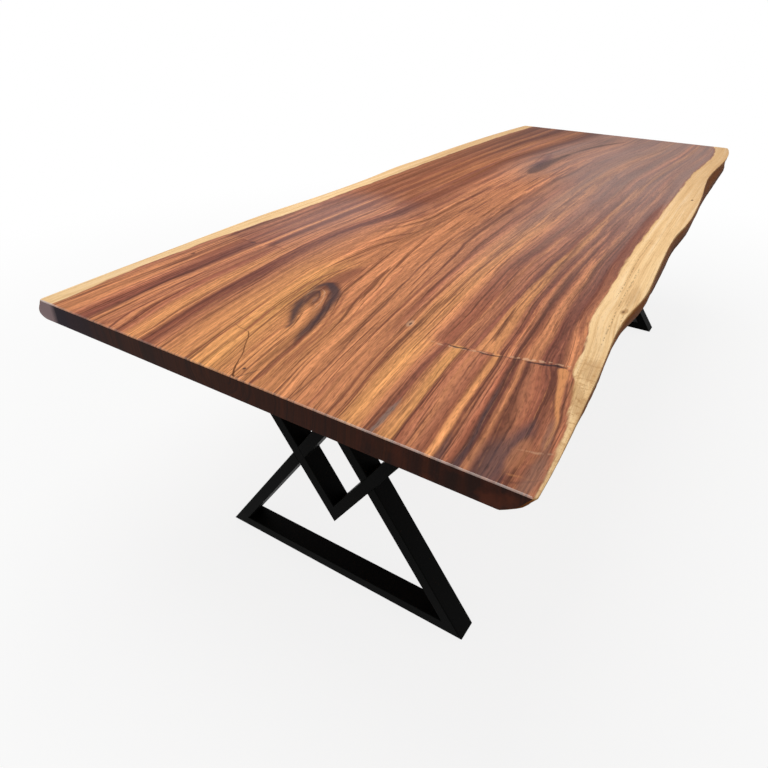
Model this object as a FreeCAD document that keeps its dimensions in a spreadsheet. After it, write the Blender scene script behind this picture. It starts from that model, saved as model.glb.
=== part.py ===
import FreeCAD, Part
import Sketcher
import math
import os

doc = FreeCAD.newDocument("LiveEdgeDiningTable")
sheet = doc.addObject("Spreadsheet::Sheet", "Sizes")

# Driving dimensions in millimetres
driving = [
    ("table_height", 760),
    ("slab_length", 2710),
    ("slab_width", 1180),
    ("slab_thickness", 45),
    ("right_edge_wander", 119),
    ("left_edge_wander", 54),
    ("right_undercut", 45),
    ("right_belly", 5),
    ("left_bulge", 17),
    ("top_arris", 2.5),
    ("near_inset", 269),
    ("far_inset", 438),
    ("frame_side_shift", -26),
    ("foot_half_span", 375),
    ("triangle_overlap", 338),
    ("tube_width", 30),
    ("tube_depth", 60),
    ("tube_wall", 3),
    ("tube_corner", 2.5),
    ("plate_thickness", 6),
    ("plate_side_margin", 20),
    ("plate_end_margin", 14),
    ("plate_corner", 10),
    ("slot_travel", 12),
    ("slot_row_pitch", 70),
    ("slot_column_pitch", 210),
    ("bolt_diameter", 8),
    ("bolt_head_diameter", 14),
    ("bolt_head_height", 4.4),
    ("bolt_head_flat", 7),
    ("bolt_socket", 5),
    ("bolt_socket_depth", 2.6),
    ("washer_diameter", 24),
    ("washer_thickness", 1.6),
    ("insert_diameter", 12),
    ("insert_length", 18),
    ("bolt_end_room", 3),
    ("bore_end_room", 2),
    ("hole_clearance", 1),
    ("fit_clearance", 0.2),
    ("pad_length", 50),
    ("pad_width", 40),
    ("pad_thickness", 3),
    ("pad_inset", 70),
]
for row, (alias, number) in enumerate(driving, start=1):
    sheet.set("A%d" % row, alias)
    sheet.set("B%d" % row, str(number))
    sheet.setAlias("B%d" % row, alias)
doc.recompute()

# Levels that several pieces share, as expressions on the sheet
SLAB_UNDERSIDE = "(Sizes.table_height - Sizes.slab_thickness)"
PLATE_UNDERSIDE = "(%s - Sizes.plate_thickness)" % SLAB_UNDERSIDE
FRAME_HEIGHT = "(%s - Sizes.pad_thickness)" % SLAB_UNDERSIDE
TRIANGLE_HEIGHT = "((%s + Sizes.triangle_overlap) / 2)" % FRAME_HEIGHT

# Middle of each frame along the slab, and the side that each half lies on
FRAME_PLACES = {
    "near": "-Sizes.slab_length / 2 + Sizes.near_inset + Sizes.tube_depth / 2",
    "far": "Sizes.slab_length / 2 - Sizes.far_inset - Sizes.tube_depth / 2",
}
SIDE_SIGNS = {"left": "", "right": "-"}

nodes = []


def size(alias):
    return float(sheet.get(alias))


def bind(target, **expressions):
    for name, expression in expressions.items():
        target.setExpression(name, expression)


def place(target, along, across, height):
    target.setExpression("Placement.Base.x", along)
    target.setExpression("Placement.Base.y", across)
    target.setExpression("Placement.Base.z", height)


def finish(target, label):
    target.Label = label
    nodes.append(target)
    return target


# Sketches and bodies

def add_body(name):
    return doc.addObject("PartDesign::Body", name)


def add_sketch(body, name, role):
    sketch = body.newObject("Sketcher::SketchObject", name)
    plane = next(feature for feature in body.Origin.OriginFeatures if feature.Role == role)
    sketch.AttachmentSupport = [(plane, "")]
    sketch.MapMode = "FlatFace"
    return sketch


def pin_point(sketch, geometry, point, across, up):
    # the point's two distances from the origin follow the sheet
    for kind, expression in (("DistanceX", across), ("DistanceY", up)):
        index = sketch.addConstraint(Sketcher.Constraint(kind, -1, 1, geometry, point, 1))
        sketch.setExpression("Constraints[%d]" % index, expression)


def add_polygon(sketch, corners):
    count = len(corners)
    turns = [math.tau * index / count for index in range(count)]
    spots = [FreeCAD.Vector(math.cos(turn), math.sin(turn), 0) for turn in turns]
    first = sketch.GeometryCount
    for index in range(count):
        sketch.addGeometry(Part.LineSegment(spots[index], spots[(index + 1) % count]))
    for index in range(count):
        following = first + (index + 1) % count
        sketch.addConstraint(Sketcher.Constraint("Coincident", first + index, 2, following, 1))
    for index, (across, up) in enumerate(corners):
        pin_point(sketch, first + index, 1, across, up)


def add_slot(sketch, across, up, travel, diameter):
    # two half circles joined by two lines, long way up the sketch
    low = FreeCAD.Vector(0, -1, 0)
    high = FreeCAD.Vector(0, 1, 0)
    unit = FreeCAD.Vector(1, 0, 0)
    axis = FreeCAD.Vector(0, 0, 1)
    bottom = sketch.addGeometry(Part.ArcOfCircle(Part.Circle(low, axis, 1), math.pi, math.tau))
    top = sketch.addGeometry(Part.ArcOfCircle(Part.Circle(high, axis, 1), 0, math.pi))
    right = sketch.addGeometry(Part.LineSegment(low + unit, high + unit))
    left = sketch.addGeometry(Part.LineSegment(high - unit, low - unit))
    for one, one_end, other, other_end in (
        (bottom, 2, right, 1), (right, 2, top, 1), (top, 2, left, 1), (left, 2, bottom, 1),
    ):
        sketch.addConstraint(Sketcher.Constraint("Tangent", one, one_end, other, other_end))
    sketch.addConstraint(Sketcher.Constraint("Equal", bottom, top))
    index = sketch.addConstraint(Sketcher.Constraint("Diameter", bottom, 1))
    sketch.setExpression("Constraints[%d]" % index, diameter)
    pin_point(sketch, bottom, 3, across, "%s - %s / 2" % (up, travel))
    pin_point(sketch, top, 3, across, "%s + %s / 2" % (up, travel))


def pad_sketch(body, sketch, length, sides="One side"):
    pad = body.newObject("PartDesign::Pad", "Pad")
    pad.Profile = sketch
    pad.SideType = sides
    bind(pad, Length=length)
    doc.recompute()
    return pad


def pocket_sketch(body, sketch, length, sides="One side", reverse=False):
    before = body.Shape.Volume
    pocket = body.newObject("PartDesign::Pocket", "Pocket")
    pocket.Profile = sketch
    pocket.SideType = sides
    pocket.Reversed = reverse
    bind(pocket, Length=length)
    doc.recompute()
    if body.Shape.Volume >= before:
        raise RuntimeError("a pocket of %s cut nothing" % body.Name)
    return pocket


def fillet_along(body, base, direction, radius):
    # round every straight edge that runs along the direction
    names = []
    for index, edge in enumerate(base.Shape.Edges, start=1):
        run = edge.tangentAt(edge.FirstParameter)
        if run.cross(direction).Length < 1e-6:
            names.append("Edge%d" % index)
    fillet = body.newObject("PartDesign::Fillet", "Fillet")
    fillet.Base = (base, names)
    bind(fillet, Radius=radius)
    doc.recompute()
    return fillet


# Corners of a frame, in its own plane, from its middle and from the underside of the floor bar.
# The upright triangle's sides fall outwards at a steady slope, and the other triangle mirrors it.
# An inset is measured square to a tube, from the outer face of its triangle.

RISE = "(%s / Sizes.foot_half_span)" % TRIANGLE_HEIGHT
SECANT = "sqrt(1 + %s ^ 2)" % RISE
LOW_POINT = "(%s - %s)" % (FRAME_HEIGHT, TRIANGLE_HEIGHT)

OUTER = "0"
WALL = "Sizes.tube_wall"
FAR_WALL = "(Sizes.tube_width - Sizes.tube_wall)"
INNER = "Sizes.tube_width"


def foot_corner(inset):
    across = "(%s - %s * (1 + %s)) / %s" % (TRIANGLE_HEIGHT, inset, SECANT, RISE)
    return across, inset


def crossing(leg_inset, arm_inset):
    gap = "(Sizes.triangle_overlap - (%s + %s) * %s)" % (leg_inset, arm_inset, SECANT)
    across = "%s / (2 * %s)" % (gap, RISE)
    up = "(%s + (%s - %s) * %s) / 2" % (FRAME_HEIGHT, arm_inset, leg_inset, SECANT)
    return across, up


def top_point(inset):
    return "0", "%s - %s * %s" % (TRIANGLE_HEIGHT, inset, SECANT)


def low_point(inset):
    return "0", "%s + %s * %s" % (LOW_POINT, inset, SECANT)


def arm_top(inset):
    reach = "(%s - Sizes.plate_thickness - %s * %s)" % (TRIANGLE_HEIGHT, inset, SECANT)
    return "%s / %s" % (reach, RISE), "%s - Sizes.plate_thickness" % FRAME_HEIGHT


def on_side(corner, side):
    across, up = corner
    return "%s(%s)" % (SIDE_SIGNS[side], across), up


# Tubes: an outline in the frame's plane, rounded along its length and hollowed to its open ends.
# The first two corners of an outline are the ends of one long face.

def add_tube(frame, name, outer, bore):
    body = add_body("%s_%s" % (frame, name))
    outline = add_sketch(body, "Outline", "YZ_Plane")
    add_polygon(outline, outer)
    pad = pad_sketch(body, outline, "Sizes.tube_depth", "Symmetric")
    face = outline.Geometry[0]
    run = face.EndPoint - face.StartPoint
    fillet_along(body, pad, FreeCAD.Vector(0, run.x, run.y).normalize(), "Sizes.tube_corner")
    hollow = add_sketch(body, "Hollow", "YZ_Plane")
    add_polygon(hollow, bore)
    pocket_sketch(body, hollow, "Sizes.tube_depth - 2 * Sizes.tube_wall", "Symmetric")
    place(body, FRAME_PLACES[frame], "Sizes.frame_side_shift", "Sizes.pad_thickness")
    return finish(body, "%s_%s" % (frame, name))


def bar_corners(low, high):
    ends = [on_side(foot_corner(low), "right"), on_side(foot_corner(low), "left")]
    return ends + [on_side(foot_corner(high), "left"), on_side(foot_corner(high), "right")]


def lower_leg_corners(low, high, side):
    # the lower leg stops at the outer face of the arm that crosses it
    corners = [foot_corner(low), crossing(low, OUTER), crossing(high, OUTER), foot_corner(high)]
    return [on_side(corner, side) for corner in corners]


def upper_leg_corners(low, high, side):
    corners = [crossing(low, INNER), top_point(low), top_point(high), crossing(high, INNER)]
    return [on_side(corner, side) for corner in corners]


def arm_corners(low, high, side):
    corners = [low_point(low), arm_top(low), arm_top(high), low_point(high)]
    return [on_side(corner, side) for corner in corners]


def add_frame_tubes(frame):
    add_tube(frame, "base_bar", bar_corners(OUTER, INNER), bar_corners(WALL, FAR_WALL))
    shapes = {
        "leg_lower": lower_leg_corners,
        "leg_upper": upper_leg_corners,
        "arm": arm_corners,
    }
    for part_name, corners in shapes.items():
        for side in SIDE_SIGNS:
            outer = corners(OUTER, INNER, side)
            bore = corners(WALL, FAR_WALL, side)
            add_tube(frame, "%s_%s" % (side, part_name), outer, bore)


# Mounting plate, with slots across the grain so that the slab can swell and shrink

PLATE_HALF_WIDTH = "(Sizes.slot_row_pitch / 2 + Sizes.plate_side_margin)"
PLATE_HALF_LENGTH = "(%s + Sizes.plate_end_margin)" % arm_top(OUTER)[0]
slot_row_shares = (-0.5, 0.5)
slot_column_shares = (-1, 0, 1)


def add_mount_plate(frame):
    body = add_body("%s_mount_plate" % frame)
    outline = add_sketch(body, "Outline", "XY_Plane")
    signs = [("-", "-"), ("", "-"), ("", ""), ("-", "")]
    add_polygon(outline, [(a + PLATE_HALF_WIDTH, b + PLATE_HALF_LENGTH) for a, b in signs])
    pad = pad_sketch(body, outline, "Sizes.plate_thickness")
    fillet_along(body, pad, FreeCAD.Vector(0, 0, 1), "Sizes.plate_corner")
    slots = add_sketch(body, "Slots", "XY_Plane")
    for row_share in slot_row_shares:
        for column_share in slot_column_shares:
            across = "%s * Sizes.slot_row_pitch" % row_share
            up = "%s * Sizes.slot_column_pitch" % column_share
            add_slot(slots, across, up, "Sizes.slot_travel", "Sizes.bolt_diameter + Sizes.hole_clearance")
    pocket_sketch(body, slots, "Sizes.plate_thickness", reverse=True)
    place(body, FRAME_PLACES[frame], "Sizes.frame_side_shift", PLATE_UNDERSIDE)
    return finish(body, "%s_mount_plate" % frame)


# Fasteners: one of each is modelled at the origin, standing on the underside of the slab

SHANK_RADIUS = "Sizes.bolt_diameter / 2"
HEAD_RADIUS = "Sizes.bolt_head_diameter / 2"
HEAD_FACE = "-(Sizes.plate_thickness + Sizes.washer_thickness)"
HEAD_END = "(%s - Sizes.bolt_head_height)" % HEAD_FACE
SHANK_END = "Sizes.insert_length - Sizes.bolt_end_room"


def revolve_sketch(body, sketch):
    turned = body.newObject("PartDesign::Revolution", "Revolution")
    turned.Profile = sketch
    turned.ReferenceAxis = (sketch, ["V_Axis"])
    doc.recompute()
    return turned


def make_bolt():
    # a button head that narrows from its rim to the flat round its hexagon socket
    body = add_body("bolt_master")
    profile = add_sketch(body, "Profile", "XZ_Plane")
    add_polygon(profile, [
        ("0", SHANK_END),
        ("0", HEAD_END),
        ("Sizes.bolt_head_flat / 2", HEAD_END),
        (HEAD_RADIUS, "%s - Sizes.bolt_head_height / 2" % HEAD_FACE),
        (HEAD_RADIUS, HEAD_FACE),
        (SHANK_RADIUS, HEAD_FACE),
        (SHANK_RADIUS, SHANK_END),
    ])
    revolve_sketch(body, profile)
    socket = add_sketch(body, "Socket", "XY_Plane")
    socket.setExpression("AttachmentOffset.Base.z", HEAD_END)
    reach = "Sizes.bolt_socket / sqrt(3)"
    turns = ["%d deg" % (number * 360 / 6) for number in range(6)]
    add_polygon(socket, [("%s * cos(%s)" % (reach, turn), "%s * sin(%s)" % (reach, turn)) for turn in turns])
    pocket_sketch(body, socket, "Sizes.bolt_socket_depth", reverse=True)
    return body


def make_ring(name, outer, inner, low, high):
    body = add_body(name)
    profile = add_sketch(body, "Profile", "XZ_Plane")
    add_polygon(profile, [(inner, low), (outer, low), (outer, high), (inner, high)])
    revolve_sketch(body, profile)
    return body


def slab_seats(frame):
    # places on the underside of the slab where the frame's bolts go in
    middle = doc.getObject("%s_mount_plate" % frame).Placement.Base
    seats = []
    for row_share in slot_row_shares:
        for column_share in slot_column_shares:
            along = row_share * size("slot_row_pitch")
            across = column_share * size("slot_column_pitch")
            seats.append(middle + FreeCAD.Vector(along, across, size("plate_thickness")))
    return seats


def add_group(label, master, places):
    group = doc.addObject("Part::Feature", label)
    group.Shape = Part.makeCompound([master.Shape.translated(spot) for spot in places])
    return finish(group, label)


# Floor pads, one near each end of the floor bar

def add_floor_pads(frame):
    pads = []
    for side, sign in SIDE_SIGNS.items():
        pad = doc.addObject("Part::Box", "%s_%s_pad" % (frame, side))
        bind(pad, Length="Sizes.pad_width", Width="Sizes.pad_length", Height="Sizes.pad_thickness")
        along = "%s - Sizes.pad_width / 2" % FRAME_PLACES[frame]
        middle = "%s(Sizes.foot_half_span - Sizes.pad_inset)" % sign
        across = "Sizes.frame_side_shift + %s - Sizes.pad_length / 2" % middle
        place(pad, along, across, "0")
        pads.append(pad)
    group = doc.addObject("Part::Compound", "%s_floor_pads" % frame)
    group.Links = pads
    return finish(group, "%s_floor_pads" % frame)


# Slab: natural outlines at several heights, lofted into one plank.
# Along the length, from the near end, how far each edge draws in from its widest place.

right_edge_shares = [
    (0.00, 0.00), (0.03, 0.03), (0.08, 0.12), (0.135, 0.22), (0.175, 0.32), (0.235, 0.39),
    (0.275, 0.335), (0.333, 0.40), (0.41, 0.52), (0.465, 0.56), (0.51, 0.51), (0.567, 0.54),
    (0.62, 0.605), (0.694, 0.75), (0.762, 0.86), (0.83, 0.83), (0.91, 0.775), (1.00, 1.00),
]
left_edge_shares = [
    (0.00, 0.50), (0.04, 0.40), (0.15, 0.20), (0.22, 0.07), (0.29, 0.055), (0.35, 0.20), (0.43, 0.26),
    (0.49, 0.18), (0.555, 0.00), (0.62, 0.09), (0.70, 0.13), (0.78, 0.22), (0.87, 0.43), (1.00, 1.00),
]
# Along the length, how much of its undercut the right edge has
undercut_shares = [
    (0.00, 1.00), (0.03, 0.72), (0.08, 0.38), (0.175, 0.16), (0.30, 0.08), (0.41, 0.02),
    (0.51, 0.14), (0.62, 0.06), (0.76, 0.22), (0.88, 0.50), (1.00, 0.85),
]
# Up the edge: height, part of the undercut on the right, part of the bulge on the left
profile_shares = [
    (0.00, 1.00, -0.30), (0.12, 0.80, 0.75), (0.34, 0.50, 1.00), (0.66, 0.18, 0.60), (1.00, 0.00, 0.00),
]


def between(table_shares, place_share):
    for (start, low), (end, high) in zip(table_shares, table_shares[1:]):
        if start <= place_share <= end:
            return low + (high - low) * (place_share - start) / (end - start)


def slab_point(along_share, across, height_share):
    along = size("slab_length") * (along_share - 0.5)
    height = size("table_height") - size("slab_thickness") * (1 - height_share)
    return FreeCAD.Vector(along, across, height)


def right_edge_point(along_share, draw_share, height_share, under_share):
    local_share = between(undercut_shares, along_share)
    bow_share = 4 * height_share * (1 - height_share) * (1 - local_share)
    inset = size("right_edge_wander") * draw_share
    inset += size("right_undercut") * local_share * under_share - size("right_belly") * bow_share
    return slab_point(along_share, inset - size("slab_width") / 2, height_share)


def left_edge_point(along_share, draw_share, height_share, bulge_share):
    inset = size("left_edge_wander") * draw_share + size("left_bulge") * (1 - bulge_share)
    return slab_point(along_share, size("slab_width") / 2 - inset, height_share)


def spline_through(points):
    curve = Part.BSplineCurve()
    curve.interpolate(points)
    return curve.toShape()


def add_outline(number, height_share, under_share, bulge_share):
    right = [right_edge_point(*shares, height_share, under_share) for shares in right_edge_shares]
    left = [left_edge_point(*shares, height_share, bulge_share) for shares in left_edge_shares]
    far_end = Part.makeLine(right[-1], left[-1])
    near_end = Part.makeLine(left[0], right[0])
    outline = doc.addObject("Part::Feature", "slab_outline_%d" % number)
    outline.Shape = Part.Wire([spline_through(right), far_end, spline_through(left[::-1]), near_end])
    return outline


def add_slab(seats):
    plank = doc.addObject("Part::Loft", "plank")
    plank.Sections = [add_outline(number, *shares) for number, shares in enumerate(profile_shares)]
    plank.Solid = True
    doc.recompute()
    top = size("table_height")
    arris = size("top_arris")
    eased = doc.addObject("Part::Fillet", "eased_plank")
    eased.Base = plank
    rim = [
        (index, arris, arris)
        for index, edge in enumerate(plank.Shape.Edges, start=1)
        if math.isclose(edge.BoundBox.ZMin, top, abs_tol=arris / 10)
    ]
    eased.Edges = rim
    bores = []
    for number, seat in enumerate(seats):
        bore = doc.addObject("Part::Cylinder", "insert_bore_%d" % number)
        bind(bore, Radius="Sizes.insert_diameter / 2 + Sizes.fit_clearance")
        bind(bore, Height="Sizes.insert_length + Sizes.bore_end_room")
        bore.Placement.Base = seat
        bores.append(bore)
    drill = doc.addObject("Part::Compound", "insert_bores")
    drill.Links = bores
    slab = doc.addObject("Part::Cut", "drilled_plank")
    slab.Base = eased
    slab.Tool = drill
    doc.recompute()
    return finish(slab, "slab_top")


# Build: both frames, what screws them on, and the slab

bolt = make_bolt()
washer = make_ring(
    "washer_master",
    "Sizes.washer_diameter / 2",
    "(Sizes.bolt_diameter + Sizes.hole_clearance) / 2",
    HEAD_FACE,
    "-Sizes.plate_thickness",
)
insert = make_ring(
    "insert_master",
    "Sizes.insert_diameter / 2",
    "Sizes.bolt_diameter / 2 + Sizes.fit_clearance",
    "0",
    "Sizes.insert_length",
)
all_seats = []
for frame in FRAME_PLACES:
    add_frame_tubes(frame)
    add_mount_plate(frame)
    add_floor_pads(frame)
    doc.recompute()
    seats = slab_seats(frame)
    add_group("%s_bolts" % frame, bolt, seats)
    add_group("%s_washers" % frame, washer, seats)
    add_group("%s_inserts" % frame, insert, seats)
    all_seats += seats
add_slab(all_seats)
doc.recompute()

# Test every object, then write one file for each node

for item in doc.Objects:
    if "Invalid" in item.State or "Error" in item.State:
        raise RuntimeError("%s did not rebuild" % item.Name)
os.makedirs("parts", exist_ok=True)
for node in nodes:
    if node.Shape.isNull() or not node.Shape.isValid():
        raise RuntimeError("%s has no valid shape" % node.Label)
    node.Shape.exportStep("parts/%s.step" % node.Label)
    print(node.Label, len(node.Shape.Solids), round(node.Shape.Volume))
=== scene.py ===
import math
from functools import partial

import bmesh
import bpy
from mathutils import Matrix, Vector, noise
from mathutils.bvhtree import BVHTree


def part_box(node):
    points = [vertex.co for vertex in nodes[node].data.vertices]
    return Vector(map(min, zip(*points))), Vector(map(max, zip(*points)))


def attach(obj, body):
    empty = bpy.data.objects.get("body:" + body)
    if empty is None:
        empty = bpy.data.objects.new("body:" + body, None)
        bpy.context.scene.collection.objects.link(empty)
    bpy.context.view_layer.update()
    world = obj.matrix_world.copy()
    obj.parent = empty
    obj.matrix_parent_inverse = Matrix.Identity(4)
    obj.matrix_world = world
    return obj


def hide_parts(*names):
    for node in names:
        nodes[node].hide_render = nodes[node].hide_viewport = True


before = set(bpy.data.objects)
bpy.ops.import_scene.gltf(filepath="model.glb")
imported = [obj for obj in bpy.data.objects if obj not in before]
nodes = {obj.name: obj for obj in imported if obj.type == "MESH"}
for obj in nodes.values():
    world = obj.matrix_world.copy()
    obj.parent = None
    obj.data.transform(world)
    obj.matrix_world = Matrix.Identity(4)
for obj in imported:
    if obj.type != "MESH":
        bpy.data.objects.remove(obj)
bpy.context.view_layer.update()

mm = 0.001
slabLow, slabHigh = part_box("slab_top")
slabLength = (slabHigh.x - slabLow.x) / mm
slabWidth = (slabHigh.y - slabLow.y) / mm
slabThickness = (slabHigh.z - slabLow.z) / mm


# linear colour of an sRGB hex, or of one of the wood's tones by its name
def linear(tone):
    tone = woodTones.get(tone, tone)
    parts = [int(tone[i:i + 2], 16) / 255 for i in (1, 3, 5)]
    return tuple(p / 12.92 if p <= 0.04045 else ((p + 0.055) / 1.055) ** 2.4 for p in parts) + (1.0,)


# adds one node; its inputs are values, tones or sockets, as a dictionary by name or a list in their order
def addNode(tree, kind, inputs=(), operation=None, stops=None, curve=None, **settings):
    node = tree.nodes.new("ShaderNode" + kind)
    if kind == "Mix":
        node.data_type = "RGBA"  # nearly every mix is one of colours
    if operation:
        node.operation = operation
    for name, value in settings.items():
        setattr(node, name, value)
    if stops:  # colour ramp, as (place, tone) or (place, tone, alpha)
        ramp = node.color_ramp.elements
        while len(ramp) < len(stops):
            ramp.new(1.0)
        for point, (place, colour, *alpha) in zip(ramp, stops):
            point.position = place
            point.color = linear(colour)[:3] + tuple(alpha or [1.0])
    if curve:  # float curve, as shares
        line = node.mapping.curves[0].points
        while len(line) < len(curve):
            line.new(1.0, 1.0)
        for point, place in zip(line, curve):
            point.location = place
            point.handle_type = "AUTO_CLAMPED"
        node.mapping.extend = "HORIZONTAL"
        node.mapping.update()
    live = [s for s in node.inputs if s.enabled]
    if isinstance(inputs, dict):
        live = [next(s for s in live if s.name == name) for name in inputs]
        inputs = inputs.values()
    for socket, value in zip(live, inputs):
        if isinstance(value, bpy.types.NodeSocket):
            tree.links.new(value, socket)
        else:
            socket.default_value = linear(value) if isinstance(value, str) else value
    return next((s for s in node.outputs if s.enabled), None)


smoothly = {"interpolation_type": "SMOOTHSTEP"}
spread = (0.3, 0.7)  # most of a noise lies between these
wideSpread = (0.25, 0.75)  # and nearly all of it between these


# a new material, and the function that adds nodes to it
def newMaterial(name):
    material = bpy.data.materials.new(name)
    material.use_nodes = True
    material.node_tree.nodes.clear()
    return material, partial(addNode, material.node_tree)


def addPiece(name, bm, materials, slot, *replaced):
    mesh = bpy.data.meshes.new(name)
    bm.to_mesh(mesh)
    bm.free()
    for material in materials:
        mesh.materials.append(material)
    piece = bpy.data.objects.new(name, mesh)
    bpy.context.scene.collection.objects.link(piece)
    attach(piece, "root")
    if replaced:
        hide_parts(*replaced)
    return piece


# monkeypod, sawn through near the heart: sRGB tones of the oiled wood, with grey, salmon and blue-black
# tones for painted reflection and a pale tone for a painted highlight
woodTones = {
    "gold": "#f0a968", "amber": "#e69d65", "orange": "#d88e61", "russet": "#c07a59", "brown": "#9b5b43",
    "plum": "#7e4739", "ink": "#5f382e", "char": "#413235", "sap": "#f5cf99", "sapShade": "#e0b580",
    "sapLight": "#fbdcb0", "sapBrown": "#b98a58", "burl": "#99705f", "pale": "#e2b592", "smoke": "#54464a",
    "stone": "#8a7a70", "salmon": "#b8948a", "umber": "#522c14", "rust": "#7c4218", "night": "#3c2a2a",
    "dusk": "#6c444a", "slate": "#686a70", "mauve": "#8c7c78", "oiled": "#5a4138", "soaked": "#28160f",
    "endRed": "#6b3420", "endBlue": "#171222", "endGrey": "#b5999a", "rubbed": "#ecdcd4", "skin": "#a56b34",
    "skinBrown": "#7f4a20", "skinShade": "#6e3f1c", "skinFoot": "#4f2a12",
}

# shared by two lines of the grain each: the hollow of the right edge, and the pith's dip at the far knot
rightHollow = {
    600: 108, 713: 114, 980: 133, 1255: 142, 1630: 151, 2067: 160, 2442: 147, 2630: 164, 2710: 179}
farKnot = {1740: 100, 1850: 94, 2000: 102, 2150: 112, 2710: 112}
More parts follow.
